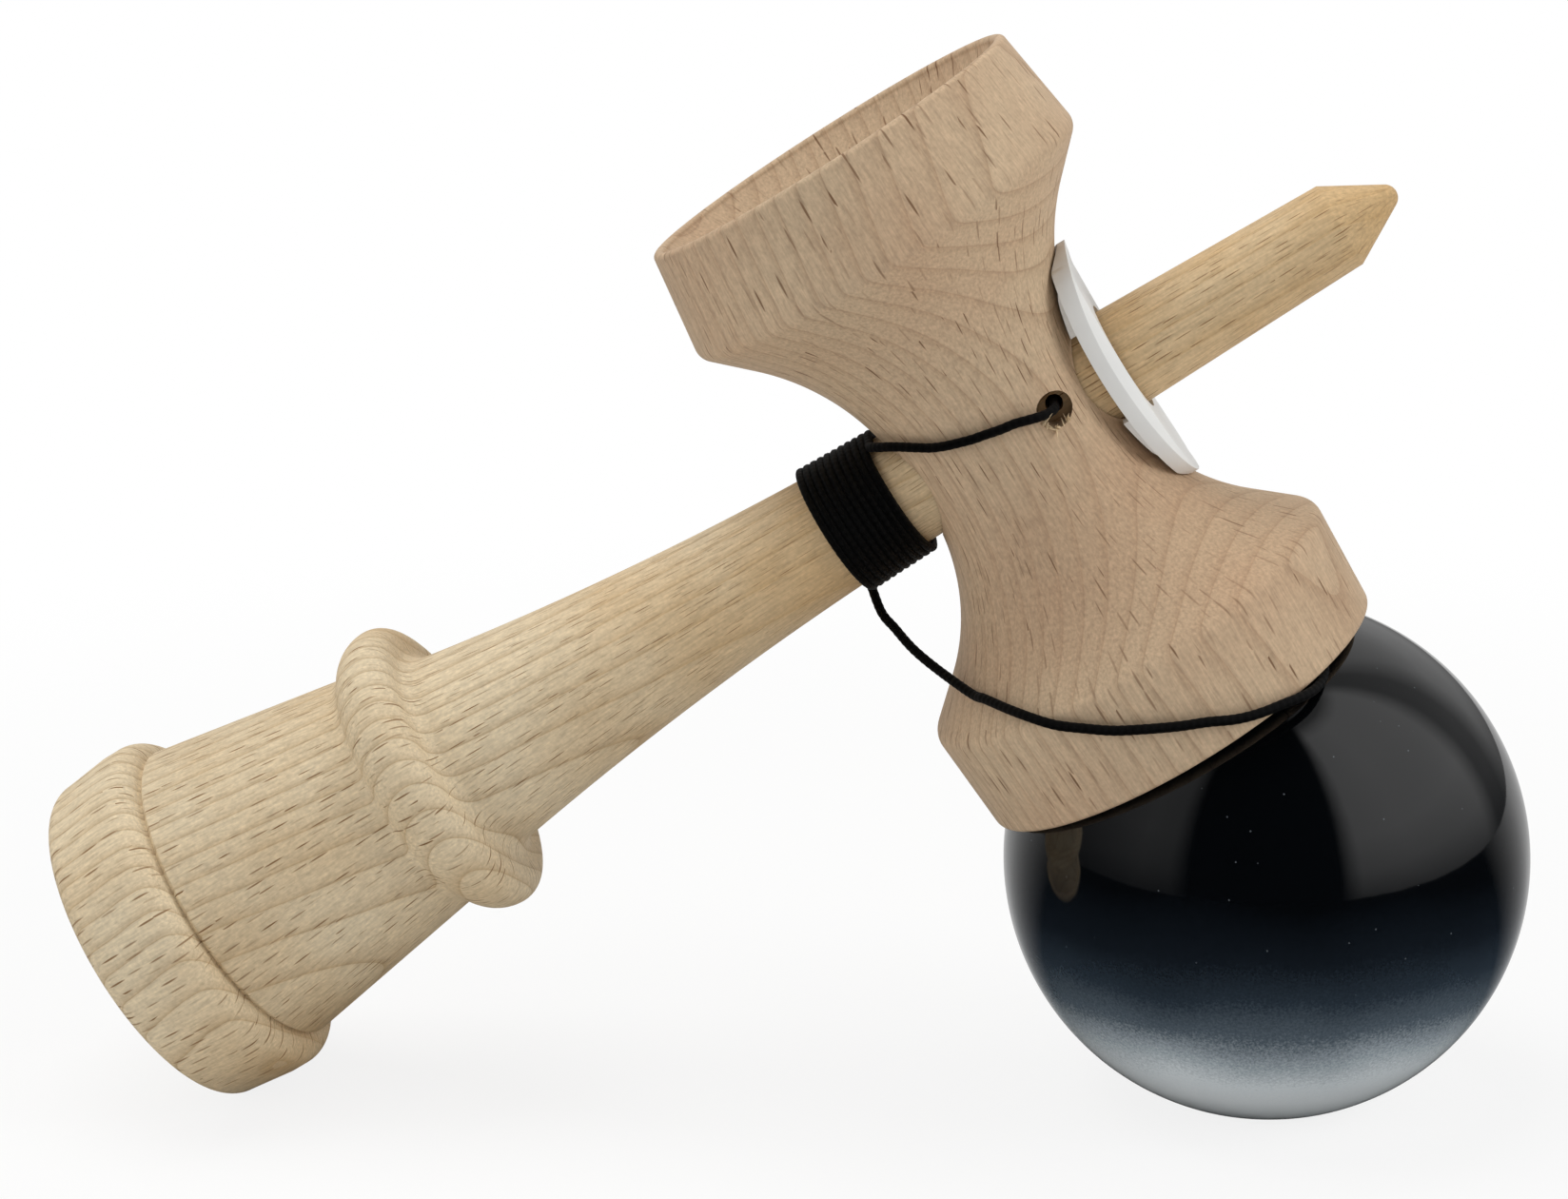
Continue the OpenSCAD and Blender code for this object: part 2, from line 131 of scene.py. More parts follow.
# half outline spun into a turned piece, its sharp edges eased
# in the outline (radius, height) is a straight line and (radius, height, turn, steps) an arc round a centre
def turnPiece(name, make, place):
    bm = bmesh.new()
    radius, height = make["outline"][0]
    tip = bm.verts.new((radius, 0, height))
    for move in make["outline"][1:]:
        if len(move) == 2:
            tip = bmesh.ops.extrude_vert_indiv(bm, verts=[tip])["verts"][0]
            tip.co = (move[0], 0, move[1])
        else:
            radius, height, turn, steps = move
            arc = bmesh.ops.spin(bm, geom=[tip], cent=(radius, 0, height), axis=(0, -1, 0),
                                 angle=math.radians(turn), steps=steps)
            tip = onlyVerts(arc["geom_last"])[0]
    bmesh.ops.remove_doubles(bm, verts=bm.verts, dist=mergeGap)
    bmesh.ops.spin(bm, geom=bm.verts[:] + bm.edges[:], cent=(0, 0, 0), axis=(0, 0, 1), angle=math.tau,
                   steps=make["steps"], use_merge=True)
    bmesh.ops.remove_doubles(bm, verts=bm.verts, dist=mergeGap)
    bmesh.ops.recalc_face_normals(bm, faces=bm.faces)
    edges = [edge for edge in bm.edges if edge.calc_face_angle(0) > math.radians(24)]
    bmesh.ops.bevel(bm, geom=edges, offset=make["ease"], affect="EDGES", segments=2, profile=0.5,
                    material=-1, clamp_overlap=True)
    return makePiece(name, bm, place)


# round or tapering drill, its axis along z of the place
def drillCutter(name, radii, depth, segments, place):
    bm = bmesh.new()
    bmesh.ops.create_cone(bm, cap_ends=True, segments=segments, radius1=radii[0], radius2=radii[1],
                          depth=depth, matrix=place)
    return makePiece(name, bm, toyScale)


# cutters are taken out of a piece, or added to it, with an applied Boolean
def cutAway(piece, cutters, operation="DIFFERENCE"):
    for cutter in cutters:
        cut = piece.modifiers.new("cut", "BOOLEAN")
        cut.operation = operation
        cut.solver = "EXACT"
        cut.object = cutter
    graph = bpy.context.evaluated_depsgraph_get()
    mesh = bpy.data.meshes.new_from_object(piece.evaluated_get(graph))
    old = piece.data
    piece.modifiers.clear()
    piece.data = mesh
    bpy.data.meshes.remove(old)
    mesh.name = piece.name
    bm = bmesh.new()
    bm.from_mesh(mesh)
    bmesh.ops.remove_doubles(bm, verts=bm.verts, dist=mergeGap * mm)
    bmesh.ops.holes_fill(bm, edges=[edge for edge in bm.edges if edge.is_boundary], sides=0)
    bmesh.ops.recalc_face_normals(bm, faces=bm.faces)
    sortParts(bm)
    bm.to_mesh(mesh)
    bm.free()
    shadeMesh(mesh, 35)
    for cutter in cutters:
        bpy.data.meshes.remove(cutter.data)


# string: one braided cord in stretches, the routes as in the part's source, in the handle's frame
stringMake = {"diameter": 1.1, "step": 0.22, "sides": 12, "strandPitch": 1.7, "strands": 4, "relief": 0.07}
leadMake = {"start": (-0.5, 2.599, 124.8),
            "route": [(-0.5, -4, 124.8), (-0.5, -6.5, 124.8), (-0.5, -8.7, 124.8), (-0.6, -10.3, 124.5),
                      (-0.9, -11.5, 123.5), (-1.4, -12.2, 122.1), (-1.9, -12.5, 120.6), (-2.2, -12.8, 119),
                      (-2.6, -12.9, 117.3), (-2.9, -12.7, 115.7), (-3.3, -12.4, 114.2), (-3.7, -11.9, 112.7),
                      (-4.2, -11.1, 111.2), (-4.9, -10.3, 109.8), (-5.6, -9.3, 108.4), (-6.2, -8.1, 107),
                      (-6.5, -6.8, 105.9), (-6.7, -5.5, 105.1)],
            "mouth": 3}  # the route's point where it leaves the hole
windingMake = {"top": 104.5, "drop": 9.232, "start": -165, "turn": 3755, "gap": 0.2, "perTurn": 48,
               "step": 0.3, "diameter": 0.96}  # pulled tight, so a little slimmer
tailMake = {"route": [(10.8, 0.1, 94.9), (12.9, -1.8, 95.5), (15.5, -4.4, 96.4), (18.4, -7, 97.9),
                      (21.6, -12.7, 100.6), (22.2, -15.3, 101.9), (23.6, -19.3, 104.1), (25.1, -22.5, 106.3),
                      (26.7, -24.1, 108.3), (28.4, -24.9, 110.8), (30.1, -25.4, 113.4), (31.7, -25.7, 116.5),
                      (33.3, -25.6, 119.7), (34.6, -25.2, 122.5), (36.1, -24.5, 125.2), (37.1, -23.6, 127.7),
                      (37.9, -22.2, 130.3), (38.5, -21, 131.9), (39, -19.5, 133.2), (39.2, -17.7, 134.2),
                      (39, -15.9, 135), (38.3, -14.2, 135.5)],
            "overBall": [(-21.5, -12.4, 18.3), (-23.1, -10, 18), (-24.6, -7.2, 17.4), (-25.6, -4.6, 16.9)],
            "lift": 0.9, "bend": 2.6, "ballRadius": 30, "downHole": (26, 22, 18, 14, 10, 6.2),
            "blendFrom": (37, 0, 129.1), "blendTo": (26.5, 0, 115.1)}
gripMake = {"start": (12.03, 46.453), "end": (6.6, 104), "bow": 1, "slope": 0.0279}


# radius of the grip or the spike at a height on the handle
def gripRadius(height):
    r0, k0 = gripMake["start"]
    r1, k1 = gripMake["end"]
    if height > k1:
        return r1 - gripMake["slope"] * (height - k1)
    chord = math.hypot(r1 - r0, k1 - k0)
    arc = (chord * chord / 4 + gripMake["bow"] ** 2) / (2 * gripMake["bow"])
    lift = arc - gripMake["bow"]
    centre = ((r0 + r1) / 2 + (k1 - k0) / chord * lift, (k0 + k1) / 2 + (r0 - r1) / chord * lift)
    return centre[0] - math.sqrt(arc * arc - (height - centre[1]) ** 2)


# smooth curve through route points, sampled at even steps
def smoothRoute(points, step):
    points = [Vector(p) for p in points]
    fine = []
    for i in range(len(points) - 1):
        p, q = points[max(i - 1, 0)], points[i]
        r, s = points[i + 1], points[min(i + 2, len(points) - 1)]
        for n in range(12):
            t = n / 12
            fine.append(0.5 * (2 * q + (r - p) * t + (2 * p - 5 * q + 4 * r - s) * t * t
                               + (3 * q - p - 3 * r + s) * t ** 3))
    fine.append(points[-1])
    return evenRoute(fine, step)


def evenRoute(fine, step):
    total = sum((b - a).length for a, b in zip(fine, fine[1:]))
    count = max(2, round(total / step))
    spaced, walked, goal = [fine[0]], 0, total / count
    for a, b in zip(fine, fine[1:]):
        span = (b - a).length
        while goal <= walked + span + 1e-9 and len(spaced) < count:
            spaced.append(a.lerp(b, (goal - walked) / span))
            goal += total / count
        walked += span
    spaced.append(fine[-1])
    return spaced, total


# braided tube: a circle extruded along the route, its strands proud in a diamond lay; UV is (round, along)
def braidCord(name, route, place, diameter):
    sides, pitch, half = stringMake["sides"], stringMake["strandPitch"], stringMake["strands"] / 2
    bm = bmesh.new()
    lay = bm.loops.layers.uv.new("lay")
    bmesh.ops.create_circle(bm, cap_ends=True, segments=sides, radius=diameter / 2)
    end = bm.faces[:][0]
    side = (route[1] - route[0]).normalized().orthogonal().normalized()
    walked = 0
    for i, point in enumerate(route):
        before, last = route[max(i - 1, 0)], walked
        way = (route[min(i + 1, len(route) - 1)] - before).normalized()
        side = (side - way * side.dot(way)).normalized()
        other = way.cross(side)
        walked += (point - before).length
        turn = math.tau * walked / pitch
        if i:
            grown = bmesh.ops.extrude_face_region(bm, geom=[end])["geom"]
            if i > 1:
                bm.faces.remove(end)  # only the first and the last ring stay closed
            end = [part for part in grown if isinstance(part, bmesh.types.BMFace)][0]
            for j, loop in enumerate(end.loops):
                corner = loop.link_loop_radial_next
                for k, along in ((1, walked), (0, walked), (0, last), (1, last)):
                    corner[lay].uv = ((j + k) / sides, along / pitch)
                    corner = corner.link_loop_next
        for j, vert in enumerate(end.verts):
            a = math.tau * j / sides
            over = math.cos(half * a + turn) * math.cos(half * a - turn)
            r = diameter / 2 * (1 + stringMake["relief"] * over)
            vert.co = point + (side * math.cos(a) + other * math.sin(a)) * r
    bmesh.ops.recalc_face_normals(bm, faces=bm.faces)
    return makePiece(name, bm, place, 60)


def windingPoint(t):
    a = math.radians(windingMake["start"] - windingMake["turn"] * t)
    height = windingMake["top"] - windingMake["drop"] * t
    r = gripRadius(height) + windingMake["gap"] + stringMake["diameter"] / 2
    return Vector((r * math.cos(a), r * math.sin(a), height))


thick = stringMake["diameter"]
count = round(windingMake["turn"] / 360 * windingMake["perTurn"])
helix = [windingPoint(i / count) for i in range(count + 1)]
wayIn, wayOut = (helix[1] - helix[0]).normalized(), (helix[-1] - helix[-2]).normalized()
windingStart, windingEnd = helix[0] - wayIn * thick, helix[-1] + wayOut * thick
windingRoute, windingLength = evenRoute([windingStart] + helix + [windingEnd], windingMake["step"])
toWinding = [windingStart - wayIn * thick, windingStart]
leadRoute, leadLength = smoothRoute([leadMake["start"]] + leadMake["route"] + toWinding, stringMake["step"])
ballLocal = toyScale.inverted() @ ballCentre
ballUp = toyScale.inverted().to_3x3() @ Vector((0, 0, mm))
bend, above = tailMake["bend"], tailMake["ballRadius"] + tailMake["lift"]
overBall = [ballLocal + Vector(w).normalized() * above for w in tailMake["overBall"]]
intoHole = []
for a in (0, 30, 60, 90):
    s, c = math.sin(math.radians(a)), math.cos(math.radians(a))
    intoHole.append(ballLocal + ballUp * (above + bend * (c - 1)) + Vector((0, bend * (s - 1), 0)))
downHole = [ballLocal + ballUp * height for height in tailMake["downHole"]]
fromWinding = [windingEnd, windingEnd + wayOut * thick]
tailRoute, tailLength = smoothRoute(fromWinding + tailMake["route"] + overBall + intoHole + downHole,
                                    stringMake["step"])
stringLead = braidCord("stringLead", leadRoute, toyScale, thick)
stringWinding = braidCord("stringWinding", windingRoute, toyScale, windingMake["diameter"])
stringTail = braidCord("stringTail", tailRoute, toyScale, thick)
print("string laid: lead %.0f mm, winding %.0f mm, tail %.0f mm" % (leadLength, windingLength, tailLength))

# knots: overhand knots pulled tight, one in the handle and one under the bead
knotMake = {"radius": 0.336, "height": 0.62, "diameter": 1.05, "points": 96, "inHandle": 3.9, "inBall": 4.9}


def tieKnot(name, place):
    loop = []
    for i in range(knotMake["points"] + 1):
        t = math.tau * i / knotMake["points"]
        loop.append(Vector((knotMake["radius"] * (math.sin(t) + 2 * math.sin(2 * t)),
                            knotMake["radius"] * (math.cos(t) - 2 * math.cos(2 * t)),
                            -knotMake["height"] * math.sin(3 * t))))
    return braidCord(name, evenRoute(loop, stringMake["step"])[0], place, knotMake["diameter"])


handleKnot = tieKnot("handleKnot", toyScale @ Matrix.Translation((holeX, knotMake["inHandle"], holeZ))
                     @ Matrix.Rotation(math.pi / 2, 4, "X"))
beadKnot = tieKnot("beadKnot", ballScale @ Matrix.Translation((0, 0, knotMake["inBall"])))
print("knots tied")

# handle: one turned piece from the hollow lower end to the tip of the spike
handleMake = {"steps": 144, "ease": 0.18, "outline": [
    (0, 7.508), (0, -15.492, -47.657, 20), (18.6, 0), (18.6, 2.2, 90, 12),  # hollow lower end, rounded edge
    (21.4, 7.5), (21.4, 9.5), (18.8, 9.5, 90, 14), (18.3, 12.3), (18.9, 12.9),  # bead and V groove
    (14.9, 36.343), (16.5, 36.343, -58.992, 10), (13.1, 42, 58.992, 14),  # barrel, cove and flange
    (15.3, 42, 90, 12), (14, 44.8), (14, 46.8, -80, 12),
    (424.618, 114.416, -7.927, 40), (6.6, 104), (5, 161.34), (1.299, 167.75), (0, 167, 60, 8)]}  # grip to tip
# the string's thin hole through the handle and the wider pocket for its knot on the far side
threadMake = {"steps": 64, "ease": 0.05, "outline": [
    (0, -12), (1, -12), (1, 2.599), (2.1, 2.599), (2.1, 12), (0, 12)]}
handle = turnPiece("turnedHandle", handleMake, toyScale)
throughHandle = toyScale @ Matrix.Translation((holeX, 0, holeZ)) @ Matrix.Rotation(-math.pi / 2, 4, "X")
cutAway(handle, [turnPiece("threadCut", threadMake, throughHandle)])
print("handle turned")

# cross piece: two cups back to back on a waist, bored for the spike, with a string hole on the near side
crossMake = {"steps": 168, "ease": 0.15, "bore": (7.08, 5.74), "boreReach": 24, "stringHole": 2.0,
             "waist": 12, "bigFlare": (37, 3), "smallFlare": (40, -1)}  # the flares' arc centres
crossMake["outline"] = [
    (0, 24.0066), (0, 50.5066, 61.101, 36), (23.9, 37.7, -180, 14),  # big cup and its lip
    (25.1511, 26.9675), (23.1538, 26.8649, -50.94, 10), (20.272, 21.579), (*crossMake["bigFlare"], 48, 28),
    (crossMake["waist"], -1), (*crossMake["smallFlare"], 45, 28), (23.891, -24.489),
    (22.4766, -25.903, -53.266, 10), (22.9, -36.9),  # small cup, its lip and its hollow
    (22.2, -36.9, -180, 14), (0, -50.6113, 57.473, 36)]
crossPiece = turnPiece("turnedCross", crossMake, alongCross)
reach = crossMake["boreReach"]
boreCut = drillCutter("boreCut", crossMake["bore"], 2 * reach, 96, Matrix.Translation((0, 0, crossHeight)))
fromNear = Matrix.Translation((holeX, -reach / 2, holeZ)) @ Matrix.Rotation(math.pi / 2, 4, "X")
holeCut = drillCutter("holeCut", [crossMake["stringHole"]] * 2, reach, 64, fromNear)
cutAway(crossPiece, [boreCut, holeCut])
print("cross piece turned")

# torn fibres left by the drill on the lower side of the string hole
fibreMake = {"count": 11, "from": -75, "to": 35, "length": (1.0, 2.3), "width": (0.16, 0.34), "seed": 4,
             "inset": 0.04, "sunk": 0.12, "fold": (-0.9, 0.5), "stray": (-0.3, 0.3), "rise": (0.25, 1.0),
             "rooted": 0.42, "flat": 0.45}
dice = random.Random(fibreMake["seed"])
bm = bmesh.new()
for i in range(fibreMake["count"]):
    share = (i + dice.random()) / fibreMake["count"]
    a = math.radians(fibreMake["from"] + (fibreMake["to"] - fibreMake["from"]) * share)
    r = crossMake["stringHole"] - fibreMake["inset"]
    root = Vector((holeX + r * math.cos(a), 0, holeZ + r * math.sin(a)))
    root.y = -math.sqrt(crossMake["waist"] ** 2 - (root.z - crossHeight) ** 2) + fibreMake["sunk"]
    out = Vector((math.cos(a) * dice.uniform(*fibreMake["fold"]) + dice.uniform(*fibreMake["stray"]),
                  -dice.uniform(*fibreMake["rise"]),
                  math.sin(a) * dice.uniform(*fibreMake["fold"]) + dice.uniform(*fibreMake["stray"])))
    out.normalize()
    length, width = dice.uniform(*fibreMake["length"]), dice.uniform(*fibreMake["width"])
    lean = out.to_track_quat("Z", "Y").to_matrix().to_4x4() @ Matrix.Diagonal((1, fibreMake["flat"], 1, 1))
    bmesh.ops.create_cone(bm, cap_ends=True, segments=6, radius1=width, radius2=0.01, depth=length,
                          matrix=Matrix.Translation(root + out * length * fibreMake["rooted"]) @ lean)
tornFibres = makePiece("tornFibres", bm, toyScale)
print("torn fibres set")

# ball: lacquered, with the spike hole below, a stepped pocket for the bead and a string hole on top
ballMake = {"steps": 192, "ease": 0.12, "outline": [
    (1.6, 28.007), (3.4, 29.807), (0, 0, -150.319, 110), (11.8, -27.582), (11, -26.782), (11, 3), (5, 3),
    (5, 11.5), (1.6, 11.5), (1.6, 28.007)]}
ball = turnPiece("lacquerBall", ballMake, ballScale)
print("ball turned")

# saddle plate: an oval of plastic bent over the waist, its long edges bevelled, with two feet underneath
# under, edge and outer are bows: a height above the handle's axis and a radius along the cross piece
plateMake = {"length": 30.6, "width": 14.8, "band": 0.8, "under": (12.6, 62), "outer": (15.5, 200),
             "edge": ((14.3, 45), (14.3, 62)), "gap": 0.3, "ease": 0.22, "thin": 0.7, "lip": 0.1,
             "hole": 6.51, "upper": (0.95, 6), "lower": (1, 4), "foot": (5.6, 10.8, 11.6), "footDeep": 0.8,
             "footSunk": 0.6, "cells": [((1, 0, 0), 0.9, 16), ((0, 1, 0), 1.3, 5)]}


def bowHeight(bow, x):
    height, radius = bow
    return height + radius - math.sqrt(radius ** 2 - x * x)


# height of the cross piece's waist and flares under the plate, with the gap
def saddleHeight(x, y):
    r = crossMake["waist"]
    for (away, along), beyond in ((crossMake["bigFlare"], 1), (crossMake["smallFlare"], -1)):
        if (x - along) * beyond > 0:
            r = away - math.sqrt((away - crossMake["waist"]) ** 2 - (x - along) ** 2)
    return math.sqrt((r + plateMake["gap"]) ** 2 - y * y)


bm = bmesh.new()
bmesh.ops.create_circle(bm, cap_ends=True, segments=96, radius=0.5)
for vert in bm.verts:  # fuller towards the ends than an ellipse, and the upper end is shorter and blunter
    short, full = plateMake["lower"] if vert.co.x > 0 else plateMake["upper"]
    vert.co.y = math.copysign(0.5 * math.sqrt(max(1 - abs(2 * vert.co.x) ** full, 0)), vert.co.y)
    vert.co.x *= short
bmesh.ops.scale(bm, vec=(plateMake["length"], plateMake["width"], 1), verts=bm.verts)
raised = bmesh.ops.extrude_face_region(bm, geom=bm.faces[:])["geom"]
bmesh.ops.translate(bm, vec=(0, 0, 1), verts=onlyVerts(raised))
bmesh.ops.holes_fill(bm, edges=bm.edges, sides=0)
bmesh.ops.recalc_face_normals(bm, faces=bm.faces)
top = max(bm.faces, key=lambda face: face.calc_center_median().z)
bmesh.ops.inset_region(bm, faces=[top], thickness=plateMake["band"], use_even_offset=True)
top = max(bm.faces, key=lambda face: (len(face.verts), face.calc_center_median().z))
bmesh.ops.translate(bm, vec=(0, 0, 1), verts=top.verts)
for way, step, count in plateMake["cells"]:  # cells small enough to bend
    for i in range(-count, count + 1):
        bmesh.ops.bisect_plane(bm, geom=bm.verts[:] + bm.edges[:] + bm.faces[:], dist=0.01,
                               plane_co=Vector(way) * (i * step), plane_no=way)
# the flat layers 0, 1 and 2 take the heights of the underside, the edge and the outer face
for vert in bm.verts:
    x, y, layer = vert.co
    low = max(bowHeight(plateMake["under"], x), saddleHeight(x, y))  # the flares lift the ends a little
    edge = max(bowHeight(plateMake["edge"][x > 0], x), low + plateMake["thin"])
    outer = max(bowHeight(plateMake["outer"], x), edge + plateMake["lip"])
    vert.co.z = low + (edge - low) * layer if layer <= 1 else edge + (outer - edge) * (layer - 1)
edges = [edge for edge in bm.edges if edge.calc_face_angle(0) > math.radians(22)]
bmesh.ops.bevel(bm, geom=edges, offset=plateMake["ease"], affect="EDGES", segments=3, profile=0.5,
                material=-1, clamp_overlap=True)
saddlePlate = makePiece("mouldedPlate", bm, crossScale, 30)
x0, x1, wide = plateMake["foot"]
feet = bmesh.new()
for side in (-1, 1):
    foot = bmesh.ops.create_grid(feet, x_segments=6, y_segments=12, size=0.5)["verts"]
    bmesh.ops.scale(feet, vec=(x1 - x0, wide, 1), verts=foot)
    bmesh.ops.translate(feet, vec=(side * (x0 + x1) / 2, 0, 0), verts=foot)
    shell = list({face for vert in foot for face in vert.link_faces})
    upper = onlyVerts(bmesh.ops.extrude_face_region(feet, geom=shell)["geom"])
    for vert in foot:  # each foot runs out towards the tip
        deep = plateMake["footDeep"] * math.sqrt(max((x1 - abs(vert.co.x)) / (x1 - x0), 0))
        vert.co.z = max(saddleHeight(vert.co.x, vert.co.y), bowHeight(plateMake["under"], vert.co.x) - deep)
    for vert in upper:
        vert.co.z = bowHeight(plateMake["under"], vert.co.x) + plateMake["footSunk"]
bmesh.ops.recalc_face_normals(feet, faces=feet.faces)
cutAway(saddlePlate, [makePiece("plateFeet", feet, crossScale)], "UNION")
cutAway(saddlePlate, [drillCutter("plateCut", [plateMake["hole"]] * 2, 30, 96,
                                  Matrix.Translation((0, 0, crossHeight + 15)))])
print("saddle plate shaped")


# colours are written in sRGB
def linear(code):
    channels = [int(code[i:i + 2], 16) / 255 for i in (1, 3, 5)]
    return tuple(c / 12.92 if c <= 0.04045 else ((c + 0.055) / 1.055) ** 2.4 for c in channels) + (1,)


def greyStops(stops):
    return [(at, (grey, grey, grey, 1)) for at, grey in stops]


# adds a node, sets its properties, sockets and colour stops, and links its inputs
def addNode(tree, kind, settings=None, links=None):
    node = tree.nodes.new(kind)
    for key, value in (settings or {}).items():
        if key == "stops":
            while len(node.color_ramp.elements) < len(value):
                node.color_ramp.elements.new(0.5)
            for stop, (place, colour) in zip(node.color_ramp.elements, value):
                stop.position, stop.color = place, colour
        elif isinstance(key, int) or key in node.inputs:
            node.inputs[key].default_value = value
        else:
            setattr(node, key, value)
    for key, source in (links or {}).items():
        tree.links.new(source, node.inputs[key])
    return node


def newMaterial(name):
    material = bpy.data.materials.new(name)
    material.use_nodes = True
    material.node_tree.nodes.clear()
    return material, material.node_tree


# sanded beech: pale and matt, thin darker growth lines, short brown ray flecks along the grain, faint fibres
beechMake = {"cloud": 22, "fibreLong": 3.5, "sand": 0.45, "spike": (105, 125)}  # where the handle slims
handleWood = {"light": "#dfceaf", "late": "#9c7c52", "warm": "#c8a574", "fleck": "#805c36", "ring": 2.4,
              "wander": 1.4, "fleckAcross": 1.0, "fleckAlong": 3.4, "fleckDeep": 2.5, "fleckShare": 0.2,
              "fibre": 0.3, "ringForce": 0.6, "radius": (15, 7), "warmer": (0.05, 0.16, 0.55)}
crossWood = {"light": "#c9b193", "late": "#8c6c50", "warm": "#bd9a7c", "fleck": "#7c5d44", "ring": 2.3,
             "wander": 1.0, "fleckAcross": 1.4, "fleckAlong": 4.0, "fleckDeep": 2.5, "fleckShare": 0.4,
             "fibre": 0.3, "ringForce": 0.48, "radius": (20, 20), "warmer": (0, 1, 0)}
beadWood = {"light": "#dcc8a6", "late": "#c2a67f", "warm": "#d0b48e", "fleck": "#9a7a54", "ring": 2.2,
            "wander": 2.0, "fleckAcross": 1.2, "fleckAlong": 2.4, "fleckDeep": 2.0, "fleckShare": 0.5,
            "fibre": 0.25, "ringForce": 0.4, "radius": (4, 4), "warmer": (0, 1, 0)}


